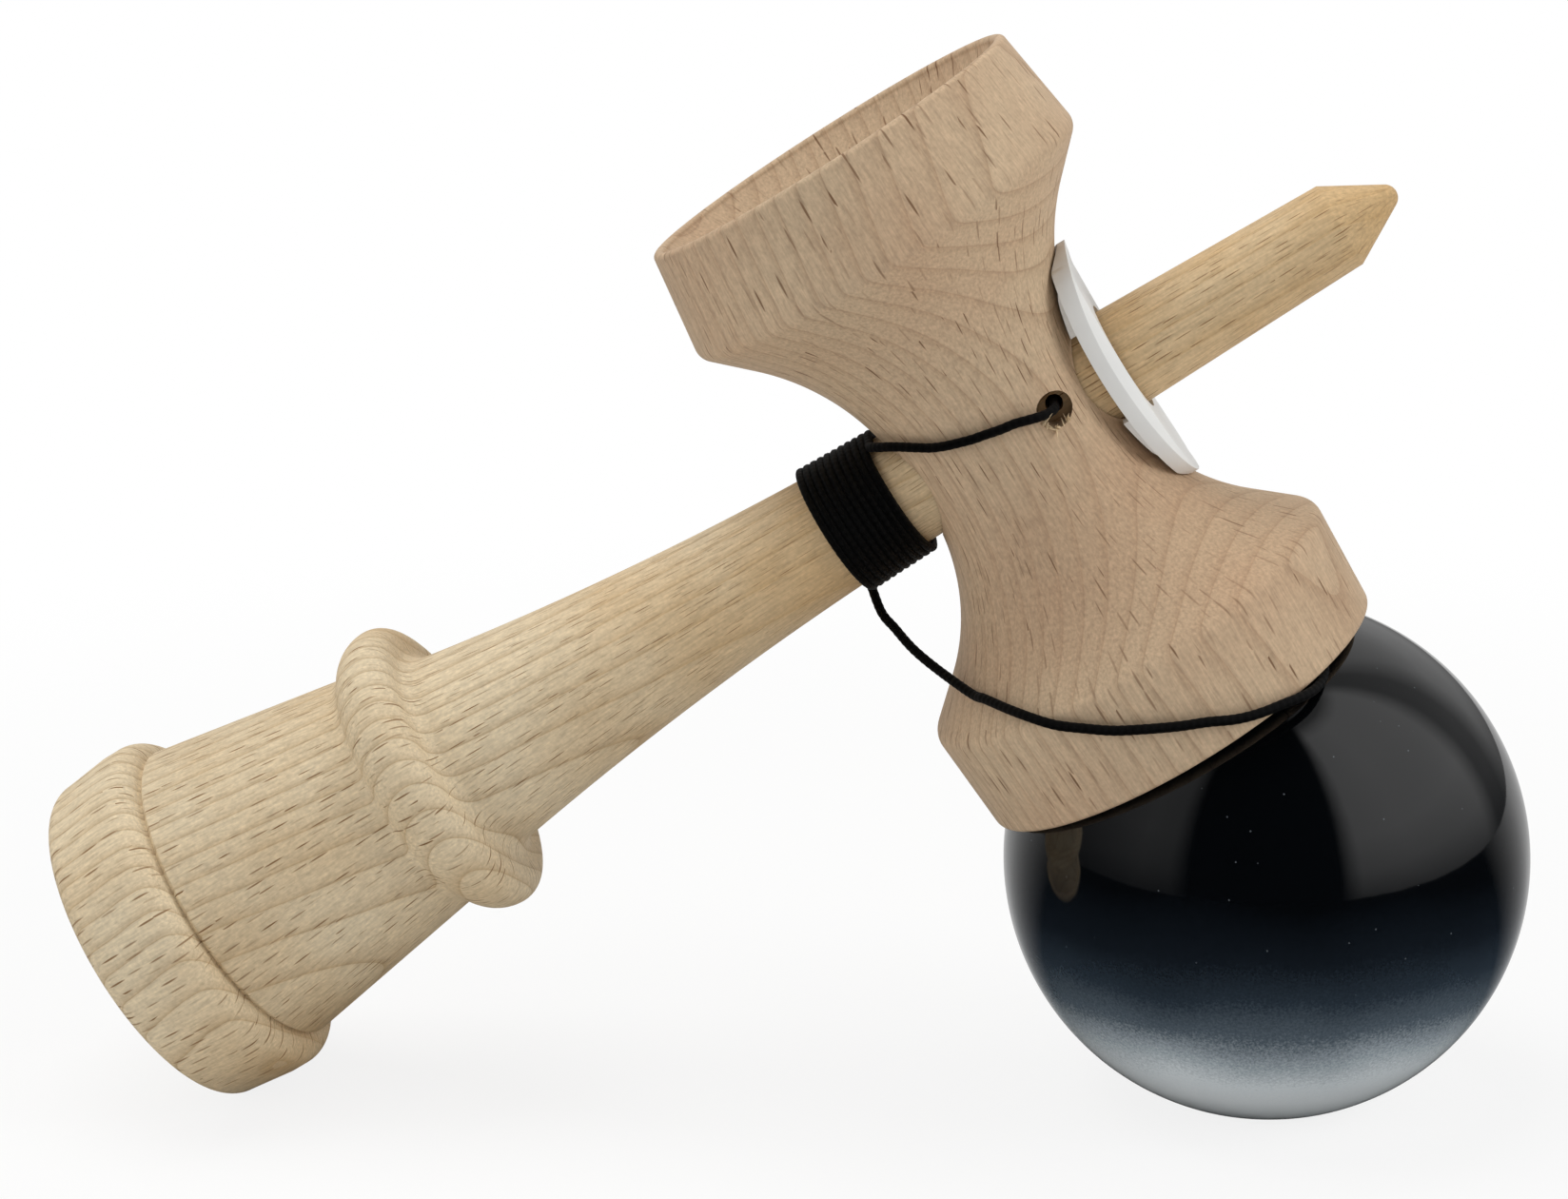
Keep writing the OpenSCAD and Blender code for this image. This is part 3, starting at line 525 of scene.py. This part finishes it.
def sandedBeech(name, wood, pith, axis):
    material, tree = newMaterial(name)
    place = addNode(tree, "ShaderNodeTexCoord").outputs["Object"]
    grain = addNode(tree, "ShaderNodeMapping", {"vector_type": "TEXTURE", "Location": pith.to_translation(),
                                                "Rotation": pith.to_euler()}, {"Vector": place}).outputs[0]
    own = addNode(tree, "ShaderNodeMapping", {"vector_type": "TEXTURE", "Location": axis.to_translation(),
                                              "Rotation": axis.to_euler()}, {"Vector": place}).outputs[0]
    parts = addNode(tree, "ShaderNodeSeparateXYZ", {}, {0: own})
    rings = addNode(tree, "ShaderNodeTexWave", {
        "wave_type": "RINGS", "rings_direction": "Z", "wave_profile": "SAW", "Distortion": wood["wander"],
        "Scale": 0.31416 / (wood["ring"] * mm),  # at scale 1 the rings are 0.31416 apart
        "Detail": 2.0, "Detail Scale": 0.35, "Detail Roughness": 0.5}, {"Vector": grain})
    ringLine = addNode(tree, "ShaderNodeValToRGB", {
        "stops": greyStops([(0.0, 0.3), (0.07, 0.0), (0.65, 0.08), (0.93, 0.5), (1.0, 1.0)])},
        {"Fac": rings.outputs["Fac"]})
    ringShare = addNode(tree, "ShaderNodeMath", {"operation": "MULTIPLY", 1: wood["ringForce"]},
                        {0: ringLine.outputs["Color"]})
    base = addNode(tree, "ShaderNodeMix", {
        "data_type": "RGBA", 6: linear(wood["light"]), 7: linear(wood["late"])}, {0: ringShare.outputs[0]})
    # warmer in clouds, and on the handle towards the spike
    cloud = addNode(tree, "ShaderNodeTexNoise", {"Scale": 1 / (beechMake["cloud"] * mm), "Detail": 3.0},
                    {"Vector": grain})
    cloudShare = addNode(tree, "ShaderNodeMapRange", {"From Min": 0.35, "From Max": 0.75, "To Max": 0.6},
                         {"Value": cloud.outputs["Fac"]})
    lowest, highest, most = wood["warmer"]
    warmer = addNode(tree, "ShaderNodeMapRange", {"From Min": lowest, "From Max": highest, "To Max": most},
                     {"Value": parts.outputs["Z"]})
    warmShare = addNode(tree, "ShaderNodeMath", {"operation": "ADD"},
                        {0: cloudShare.outputs[0], 1: warmer.outputs[0]})
    warm = addNode(tree, "ShaderNodeMix", {"data_type": "RGBA", 7: linear(wood["warm"])},
                   {0: warmShare.outputs[0], 6: base.outputs[2]})
    # fibres along the grain and the sanding's fine mottle
    fine, long = 1 / (wood["fibre"] * mm), 1 / (beechMake["fibreLong"] * mm)
    fibreSpace = addNode(tree, "ShaderNodeMapping", {"Scale": (fine, fine, long)}, {"Vector": grain})
    fibre = addNode(tree, "ShaderNodeTexNoise", {"Scale": 1.0, "Detail": 3.0, "Roughness": 0.6},
                    {"Vector": fibreSpace.outputs[0]})
    fibreTone = addNode(tree, "ShaderNodeMapRange", {
        "From Min": 0.25, "From Max": 0.75, "To Min": 0.78, "To Max": 1.14}, {"Value": fibre.outputs["Fac"]})
    sand = addNode(tree, "ShaderNodeTexNoise", {"Scale": 1 / (beechMake["sand"] * mm), "Detail": 1.0},
                   {"Vector": grain})
    sandTone = addNode(tree, "ShaderNodeMapRange", {
        "From Min": 0.3, "From Max": 0.7, "To Min": 0.93, "To Max": 1.06}, {"Value": sand.outputs["Fac"]})
    tone = addNode(tree, "ShaderNodeMath", {"operation": "MULTIPLY"},
                   {0: fibreTone.outputs[0], 1: sandTone.outputs[0]})
    toned = addNode(tree, "ShaderNodeMix", {"data_type": "RGBA", "blend_type": "MULTIPLY", 0: 1.0},
                    {6: warm.outputs[2], 7: tone.outputs[0]})
    # the rays show as dashes along the turned piece, spaced round it and along it
    angle = addNode(tree, "ShaderNodeMath", {"operation": "ARCTAN2"},
                    {0: parts.outputs["Y"], 1: parts.outputs["X"]})
    stout, slender = [radius / wood["fleckAcross"] for radius in wood["radius"]]  # the spike is thinner
    spacing = addNode(tree, "ShaderNodeMapRange", {
        "From Min": beechMake["spike"][0] * mm, "From Max": beechMake["spike"][1] * mm, "To Min": stout,
        "To Max": slender}, {"Value": parts.outputs["Z"]})
    across = addNode(tree, "ShaderNodeMath", {"operation": "MULTIPLY"},
                     {0: angle.outputs[0], 1: spacing.outputs[0]})
    flat = addNode(tree, "ShaderNodeVectorMath", {"operation": "MULTIPLY", 1: (1, 1, 0)}, {0: own})
    outward = addNode(tree, "ShaderNodeVectorMath", {"operation": "LENGTH"}, {0: flat.outputs[0]})
    deep = addNode(tree, "ShaderNodeMath", {"operation": "DIVIDE", 1: wood["fleckDeep"] * mm},
                   {0: outward.outputs["Value"]})
    along = addNode(tree, "ShaderNodeMath", {"operation": "DIVIDE", 1: wood["fleckAlong"] * mm},
                    {0: parts.outputs["Z"]})
    raySpace = addNode(tree, "ShaderNodeCombineXYZ", {},
                       {0: across.outputs[0], 1: deep.outputs[0], 2: along.outputs[0]})
    rays = addNode(tree, "ShaderNodeTexVoronoi", {"Scale": 1.0, "Randomness": 0.95},
                   {"Vector": raySpace.outputs[0]})
    offset = addNode(tree, "ShaderNodeVectorMath", {"operation": "SUBTRACT"},
                     {0: raySpace.outputs[0], 1: rays.outputs["Position"]})
    slim = addNode(tree, "ShaderNodeVectorMath", {"operation": "MULTIPLY", 1: (4.2, 0.4, 1.0)},
                   {0: offset.outputs[0]})
    reach = addNode(tree, "ShaderNodeVectorMath", {"operation": "LENGTH"}, {0: slim.outputs[0]})
    dash = addNode(tree, "ShaderNodeMapRange", {
        "From Min": 0.26, "From Max": 0.42, "To Min": 1.0, "To Max": 0.0}, {"Value": reach.outputs["Value"]})
    chance = addNode(tree, "ShaderNodeSeparateColor", {}, {"Color": rays.outputs["Color"]})
    shown = addNode(tree, "ShaderNodeMapRange", {"From Min": wood["fleckShare"]},
                    {"Value": chance.outputs["Red"]})
    fleck = addNode(tree, "ShaderNodeMath", {"operation": "MULTIPLY"},
                    {0: dash.outputs[0], 1: shown.outputs[0]})
    colour = addNode(tree, "ShaderNodeMix", {"data_type": "RGBA", 7: linear(wood["fleck"])},
                     {0: fleck.outputs[0], 6: toned.outputs[2]})
    height = addNode(tree, "ShaderNodeMath", {"operation": "SUBTRACT"},
                     {0: fibre.outputs["Fac"], 1: fleck.outputs[0]})
    bump = addNode(tree, "ShaderNodeBump", {"Strength": 0.5, "Distance": 0.05 * mm},
                   {"Height": height.outputs[0]})
    rough = addNode(tree, "ShaderNodeMapRange", {"To Min": 0.52, "To Max": 0.72},
                    {"Value": fibre.outputs["Fac"]})
    shader = addNode(tree, "ShaderNodeBsdfPrincipled", {"IOR": 1.45, "Specular IOR Level": 0.35}, {
        "Base Color": colour.outputs[2], "Roughness": rough.outputs[0], "Normal": bump.outputs[0]})
    addNode(tree, "ShaderNodeOutputMaterial", {}, {"Surface": shader.outputs[0]})
    return material


# the growth rings' centre lies behind each piece, so that the near side is cut flat across the rings
def pithAt(start, across, away, turn, reach):
    ringWay = (farWay * math.cos(math.radians(turn)) + across * math.sin(math.radians(turn))).normalized()
    return axesAt(start + ringWay * reach * mm, ringWay.cross(away), ringWay, away)


crossCentre = toyPoint((0, 0, crossHeight))
handlePith = pithAt(baseCentre, -crossWay, handleWay, 56, 48)
crossPith = pithAt(crossCentre, -handleWay, crossWay, 64, 58)
beadPith = Matrix.Translation(ballCentre + Vector((0.03, 0, 0)))
handleAxis = axesAt(baseCentre, -farWay, crossWay, handleWay)
crossAxis = axesAt(crossCentre, -farWay, -handleWay, crossWay)
handleBeech = sandedBeech("sandedBeechHandle", handleWood, handlePith, handleAxis)
crossBeech = sandedBeech("sandedBeechCross", crossWood, crossPith, crossAxis)
beadBeech = sandedBeech("turnedBeechBead", beadWood, beadPith, Matrix.Translation(ballCentre))
print("beech ready")

# sprayed lacquer: deep gloss black, fading through a speckled blue grey to pale underneath, with dust specks
lacquerMake = {"fade": [(-30, "#e6ebee"), (-25, "#e3e8eb"), (-22, "#e3e8eb"), (-19, "#d9e0e4"),
                        (-16, "#a3adb4"), (-12.5, "#55606a"), (-8, "#2b353f"), (-3, "#151b22"),
                        (4, "#06080b"), (30, "#030405")],  # colour at each height from the ball's centre
               "speck": "#7c848a", "speckGap": 2.4, "grain": 0.3, "spray": 1.4, "drift": 16, "peel": 2.5}
lacquer, tree = newMaterial("sprayedLacquer")
place = addNode(tree, "ShaderNodeTexCoord").outputs["Object"]
fromCentre = addNode(tree, "ShaderNodeMapping", {
    "vector_type": "TEXTURE", "Location": ballCentre, "Scale": (mm, mm, mm)}, {"Vector": place}).outputs[0]
spray = addNode(tree, "ShaderNodeTexNoise", {
    "Scale": 1 / lacquerMake["grain"], "Detail": 2.0, "Roughness": 0.7}, {"Vector": fromCentre})
drift = addNode(tree, "ShaderNodeTexNoise", {"Scale": 1 / lacquerMake["drift"], "Detail": 1.0},
                {"Vector": fromCentre})
axes = addNode(tree, "ShaderNodeSeparateXYZ", {}, {0: fromCentre})
sprayOff = addNode(tree, "ShaderNodeMapRange", {
    "To Min": -lacquerMake["spray"] * 2, "To Max": lacquerMake["spray"] * 2}, {"Value": spray.outputs["Fac"]})
driftOff = addNode(tree, "ShaderNodeMapRange", {"To Min": -2.0, "To Max": 2.0},
                   {"Value": drift.outputs["Fac"]})
offs = addNode(tree, "ShaderNodeMath", {"operation": "ADD"}, {0: sprayOff.outputs[0], 1: driftOff.outputs[0]})
level = addNode(tree, "ShaderNodeMath", {"operation": "ADD"}, {0: axes.outputs["Z"], 1: offs.outputs[0]})
bottom, top = lacquerMake["fade"][0][0], lacquerMake["fade"][-1][0]
levelShare = addNode(tree, "ShaderNodeMapRange", {"From Min": bottom, "From Max": top},
                     {"Value": level.outputs[0]})
fade = addNode(tree, "ShaderNodeValToRGB", {
    "stops": [((h - bottom) / (top - bottom), linear(c)) for h, c in lacquerMake["fade"]]},
    {"Fac": levelShare.outputs[0]})
specks = addNode(tree, "ShaderNodeTexVoronoi", {"Scale": 1 / lacquerMake["speckGap"]}, {"Vector": fromCentre})
speckShare = addNode(tree, "ShaderNodeMapRange", {
    "From Min": 0.02, "From Max": 0.05, "To Min": 0.5, "To Max": 0.0}, {"Value": specks.outputs["Distance"]})
paint = addNode(tree, "ShaderNodeMix", {"data_type": "RGBA", 7: linear(lacquerMake["speck"])},
                {0: speckShare.outputs[0], 6: fade.outputs["Color"]})
peel = addNode(tree, "ShaderNodeTexNoise", {"Scale": 1 / lacquerMake["peel"], "Detail": 1.0},
               {"Vector": fromCentre})
peelBump = addNode(tree, "ShaderNodeBump", {"Strength": 0.12, "Distance": 0.05 * mm},
                   {"Height": peel.outputs["Fac"]})
shader = addNode(tree, "ShaderNodeBsdfPrincipled", {"Roughness": 0.06, "IOR": 1.58},
                 {"Base Color": paint.outputs[2], "Normal": peelBump.outputs[0]})
addNode(tree, "ShaderNodeOutputMaterial", {}, {"Surface": shader.outputs[0]})
print("lacquer ready")

# moulded ABS: white with a satin skin, a fine moulding grain and faint cloudiness
plasticMake = {"white": "#f1f1ef", "shade": "#e6e7e6", "cloud": 6, "grain": 0.22}
plastic, tree = newMaterial("mouldedAbs")
place = addNode(tree, "ShaderNodeTexCoord").outputs["Object"]
cloud = addNode(tree, "ShaderNodeTexNoise", {"Scale": 1 / (plasticMake["cloud"] * mm), "Detail": 2.0},
                {"Vector": place})
tone = addNode(tree, "ShaderNodeMix", {
    "data_type": "RGBA", 6: linear(plasticMake["white"]), 7: linear(plasticMake["shade"])},
    {0: cloud.outputs["Fac"]})
skin = addNode(tree, "ShaderNodeTexNoise", {"Scale": 1 / (plasticMake["grain"] * mm), "Detail": 1.0},
               {"Vector": place})
skinBump = addNode(tree, "ShaderNodeBump", {"Strength": 0.25, "Distance": 0.03 * mm},
                   {"Height": skin.outputs["Fac"]})
skinRough = addNode(tree, "ShaderNodeMapRange", {"To Min": 0.36, "To Max": 0.5},
                    {"Value": skin.outputs["Fac"]})
shader = addNode(tree, "ShaderNodeBsdfPrincipled", {"IOR": 1.5}, {
    "Base Color": tone.outputs[2], "Roughness": skinRough.outputs[0], "Normal": skinBump.outputs[0]})
addNode(tree, "ShaderNodeOutputMaterial", {}, {"Surface": shader.outputs[0]})

# braided polyester: matt black, each strand painted a little lighter where it crosses over its neighbours: a
# painted highlight on the raised crossings, with painted shade between them
# low is the painted shade between the strands, high the painted highlight on their crossings
cordMake = {"low": "#010101", "high": "#0b0b0c", "fuzz": 0.16}
braid, tree = newMaterial("braidedPolyester")
lay = addNode(tree, "ShaderNodeUVMap", {"uv_map": "lay"})
parts = addNode(tree, "ShaderNodeSeparateXYZ", {}, {0: lay.outputs[0]})
around = addNode(tree, "ShaderNodeMath", {"operation": "MULTIPLY", 1: stringMake["strands"] / 2 * math.tau},
                 {0: parts.outputs["X"]})
along = addNode(tree, "ShaderNodeMath", {"operation": "MULTIPLY", 1: math.tau}, {0: parts.outputs["Y"]})
waves = []
for operation in ("ADD", "SUBTRACT"):  # strands that wind left and right
    strands = addNode(tree, "ShaderNodeMath", {"operation": operation},
                      {0: around.outputs[0], 1: along.outputs[0]})
    waves.append(addNode(tree, "ShaderNodeMath", {"operation": "COSINE"}, {0: strands.outputs[0]}).outputs[0])
over = addNode(tree, "ShaderNodeMath", {"operation": "MULTIPLY"}, {0: waves[0], 1: waves[1]})
overShare = addNode(tree, "ShaderNodeMapRange", {"From Min": -1.0}, {"Value": over.outputs[0]})
place = addNode(tree, "ShaderNodeTexCoord").outputs["Object"]
fuzz = addNode(tree, "ShaderNodeTexNoise", {"Scale": 1 / (cordMake["fuzz"] * mm), "Detail": 2.0},
               {"Vector": place})
strand = addNode(tree, "ShaderNodeMath", {"operation": "MULTIPLY"},
                 {0: overShare.outputs[0], 1: fuzz.outputs["Fac"]})
# painted highlight on the crossings and painted shade between them, from the strands' pattern
paintedGlintShare = addNode(tree, "ShaderNodeMapRange", {"From Max": 0.6}, {"Value": strand.outputs[0]})
tone = addNode(tree, "ShaderNodeMix", {
    "data_type": "RGBA", 6: linear(cordMake["low"]), 7: linear(cordMake["high"])},
    {0: paintedGlintShare.outputs[0]})
cordBump = addNode(tree, "ShaderNodeBump", {"Strength": 0.7, "Distance": 0.08 * mm},
                   {"Height": strand.outputs[0]})
shader = addNode(tree, "ShaderNodeBsdfPrincipled", {
    "Roughness": 0.72, "IOR": 1.5, "Specular IOR Level": 0.18, "Sheen Weight": 0.02, "Sheen Roughness": 0.5},
    {"Base Color": tone.outputs[2], "Normal": cordBump.outputs[0]})
addNode(tree, "ShaderNodeOutputMaterial", {}, {"Surface": shader.outputs[0]})
print("plastic and cord ready")

# every piece gets its material and its body, and the CAD nodes it stands for are hidden
finishes = [(handle, handleBeech, "handle", "beech", ["handle"]),
            (crossPiece, crossBeech, "handle", "pink_beech", ["cross_piece"]),
            (tornFibres, beadBeech, "handle", "pink_beech", []),
            (saddlePlate, plastic, "plate", "white_plastic", ["saddle_plate"]),
            (ball, lacquer, "ball", "black_lacquer", ["ball"]),
            (stringLead, braid, "handle", "black_cord", ["string_lead"]),
            (stringWinding, braid, "handle", "black_cord", ["string_winding"]),
            (handleKnot, braid, "handle", "black_cord", ["handle_knot"]),
            (beadKnot, braid, "swivel", "black_cord", ["bead_knot"]),
            (stringTail, braid, None, "black_cord", ["string_tail", "string_inner"])]
for piece, material, body, slot, nodes in finishes:
    piece.data.materials.clear()
    piece.data.materials.append(material)
    if body:
        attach(piece, body)
    if nodes:
        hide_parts(*nodes)
for holder in frame["nodes"]["bead"].material_slots:
    holder.material = beadBeech
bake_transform(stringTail)  # the tail's placing is baked into its mesh; it rides on no body


print("pieces ride on their bodies")

# pale floor that keeps the shadow near the toy and goes to plain white further off
studioMake = {"floor": "#e2e2e0", "floorCloud": "#e5e5e4", "near": 0.13, "far": 0.3, "least": 0.84,
              "surround": 0.34, "aim": (0, 0, 0.05),
              "lamps": [("keyLamp", (-0.28, 0.1, 1.05), 0.8, 3.9), ("rightLamp", (0.95, -0.2, 0.5), 0.6, 4.5),
                        ("leftLamp", (-0.8, -0.6, 0.45), 0.5, 2.6)]}  # place, side and glow


# one where a camera, glossy or transmission ray looks, zero for the light that falls on the pieces
def seenDirectly(tree):
    path = addNode(tree, "ShaderNodeLightPath")
    seen = addNode(tree, "ShaderNodeMath", {"operation": "MAXIMUM"},
                   {0: path.outputs["Is Camera Ray"], 1: path.outputs["Is Glossy Ray"]})
    return addNode(tree, "ShaderNodeMath", {"operation": "MAXIMUM"},
                   {0: seen.outputs[0], 1: path.outputs["Is Transmission Ray"]}).outputs[0]


bm = bmesh.new()
bmesh.ops.create_grid(bm, x_segments=1, y_segments=1, size=3)
floor = makePiece("floor", bm, Matrix.Translation((0, 0, -0.0001)))
paper, tree = newMaterial("whitePaper")
place = addNode(tree, "ShaderNodeTexCoord").outputs["Object"]
cloud = addNode(tree, "ShaderNodeTexNoise", {"Scale": 3.0}, {"Vector": place})
tone = addNode(tree, "ShaderNodeMix", {
    "data_type": "RGBA", 6: linear(studioMake["floor"]), 7: linear(studioMake["floorCloud"])},
    {0: cloud.outputs["Fac"]})
shader = addNode(tree, "ShaderNodeBsdfPrincipled", {"Roughness": 0.9, "Specular IOR Level": 0.1},
                 {"Base Color": tone.outputs[2]})
away = addNode(tree, "ShaderNodeVectorMath", {"operation": "LENGTH"}, {0: place})
farShare = addNode(tree, "ShaderNodeMapRange", {
    "From Min": studioMake["near"], "From Max": studioMake["far"], "To Min": studioMake["least"],
    "interpolation_type": "SMOOTHSTEP"}, {"Value": away.outputs["Value"]})
whiteShare = addNode(tree, "ShaderNodeMath", {"operation": "MULTIPLY"},
                     {0: farShare.outputs[0], 1: seenDirectly(tree)})
white = addNode(tree, "ShaderNodeEmission", {"Color": (1, 1, 1, 1), "Strength": 1.0})
mixed = addNode(tree, "ShaderNodeMixShader", {},
                {0: whiteShare.outputs[0], 1: shader.outputs[0], 2: white.outputs[0]})
addNode(tree, "ShaderNodeOutputMaterial", {}, {"Surface": mixed.outputs[0]})
floor.data.materials.append(paper)

# dark surroundings that only gloss mirrors: a wall round the ball, open at the window, and the table
# round and table go once round the ball, upward goes up the wall
cardMake = {"away": 0.75, "low": -0.02, "high": 4.0, "grey": "#050505", "nap": "#020202", "tableTop": 0.0001,
            "round": [(0.0, 0.85), (0.09, 0.68), (0.128, 0.72), (0.15, 1.0), (0.33, 1.0), (0.355, 0.12),
                      (0.42, 0.0), (0.55, 0.05), (0.58, 0.7), (0.61, 0.7), (0.645, 0.3), (0.75, 0.2),
                      (0.86, 0.3), (0.92, 0.85), (1.0, 0.85)],
            "upward": [(0.0, 0.75), (0.035, 0.35), (0.08, 0.08), (0.2, 0.0), (0.42, 0.0), (0.58, 0.7),
                       (1.0, 0.85)],
            "table": [(0.0, 1.0), (0.53, 1.0), (0.63, 0.35), (0.75, 0.25), (0.87, 0.35), (0.97, 1.0)]}
underBall = Vector((ballCentre.x, ballCentre.y, 0))


# black velvet: swallows the light, and lets the studio show through where its share is low
def blackVelvet(name, around, upward):
    material, tree = newMaterial(name)
    place = addNode(tree, "ShaderNodeTexCoord").outputs["Object"]
    fromBall = addNode(tree, "ShaderNodeVectorMath", {"operation": "SUBTRACT", 1: underBall}, {0: place})
    parts = addNode(tree, "ShaderNodeSeparateXYZ", {}, {0: fromBall.outputs[0]})
    angle = addNode(tree, "ShaderNodeMath", {"operation": "ARCTAN2"},
                    {0: parts.outputs["Y"], 1: parts.outputs["X"]})
    turned = addNode(tree, "ShaderNodeMapRange", {"From Min": -math.pi, "From Max": math.pi},
                     {"Value": angle.outputs[0]})
    share = addNode(tree, "ShaderNodeValToRGB", {"stops": greyStops(around)}, {"Fac": turned.outputs[0]})
    raised = addNode(tree, "ShaderNodeMath", {"operation": "DIVIDE", 1: cardMake["high"]},
                     {0: parts.outputs["Z"]})
    highShare = addNode(tree, "ShaderNodeValToRGB", {"stops": greyStops(upward)}, {"Fac": raised.outputs[0]})
    either = addNode(tree, "ShaderNodeMix", {"data_type": "RGBA", "blend_type": "SCREEN", 0: 1.0},
                     {6: share.outputs["Color"], 7: highShare.outputs["Color"]})
    nap = addNode(tree, "ShaderNodeTexNoise", {"Scale": 400.0}, {"Vector": place})
    tone = addNode(tree, "ShaderNodeMix", {
        "data_type": "RGBA", 6: linear(cardMake["grey"]), 7: linear(cardMake["nap"])},
        {0: nap.outputs["Fac"]})
    shader = addNode(tree, "ShaderNodeBsdfPrincipled", {"Roughness": 1.0, "Specular IOR Level": 0.0},
                     {"Base Color": tone.outputs[2]})
    clear = addNode(tree, "ShaderNodeBsdfTransparent")
    mixed = addNode(tree, "ShaderNodeMixShader", {},
                    {0: either.outputs[2], 1: clear.outputs[0], 2: shader.outputs[0]})
    addNode(tree, "ShaderNodeOutputMaterial", {}, {"Surface": mixed.outputs[0]})
    return material


# a line spun round the ball's axis
def darkCard(name, ends, cloth):
    bm = bmesh.new()
    ends = [bm.verts.new(point) for point in ends]
    edge = bm.edges.new(ends)
    bmesh.ops.spin(bm, geom=ends + [edge], cent=(0, 0, 0), axis=(0, 0, 1), angle=math.tau, steps=72,
                   use_merge=True)
    bmesh.ops.remove_doubles(bm, verts=bm.verts, dist=0.00001)
    card = makePiece(name, bm, Matrix.Translation(underBall))
    card.visible_camera = card.visible_diffuse = card.visible_shadow = card.visible_transmission = False
    card.data.materials.append(cloth)


reachOut, tableTop = cardMake["away"], cardMake["tableTop"]
darkCard("cardWall", [(0, -reachOut, cardMake["low"]), (0, -reachOut, cardMake["high"])],
         blackVelvet("velvetWall", cardMake["round"], cardMake["upward"]))
darkCard("cardTable", [(0, -0.001, tableTop), (0, -reachOut, tableTop)],
         blackVelvet("velvetTable", cardMake["table"], [(0.0, 0.0), (1.0, 0.0)]))

# soft square lamps of a plain brightness, aimed at the toy
for name, place, side, glow in studioMake["lamps"]:
    lampData = bpy.data.lights.new(name, "AREA")
    lampData.shape = "RECTANGLE"
    lampData.size = lampData.size_y = side
    lampData.energy = glow * math.pi * side * side
    lamp = bpy.data.objects.new(name, lampData)
    lamp.location = place
    lamp.rotation_euler = (Vector(studioMake["aim"]) - Vector(place)).to_track_quat("-Z", "Y").to_euler()
    lamp.visible_glossy = False
    bpy.context.scene.collection.objects.link(lamp)
world = bpy.data.worlds.new("studio")
bpy.context.scene.world = world
world.use_nodes = True
tree = world.node_tree
tree.nodes.clear()
force = addNode(tree, "ShaderNodeMapRange", {"To Min": studioMake["surround"], "To Max": 1.0},
                {"Value": seenDirectly(tree)})
sky = addNode(tree, "ShaderNodeBackground", {"Color": (1, 1, 1, 1)}, {"Strength": force.outputs[0]})
addNode(tree, "ShaderNodeOutputWorld", {}, {"Surface": sky.outputs[0]})
bpy.context.scene.view_settings.view_transform = "Standard"
print("studio lit")
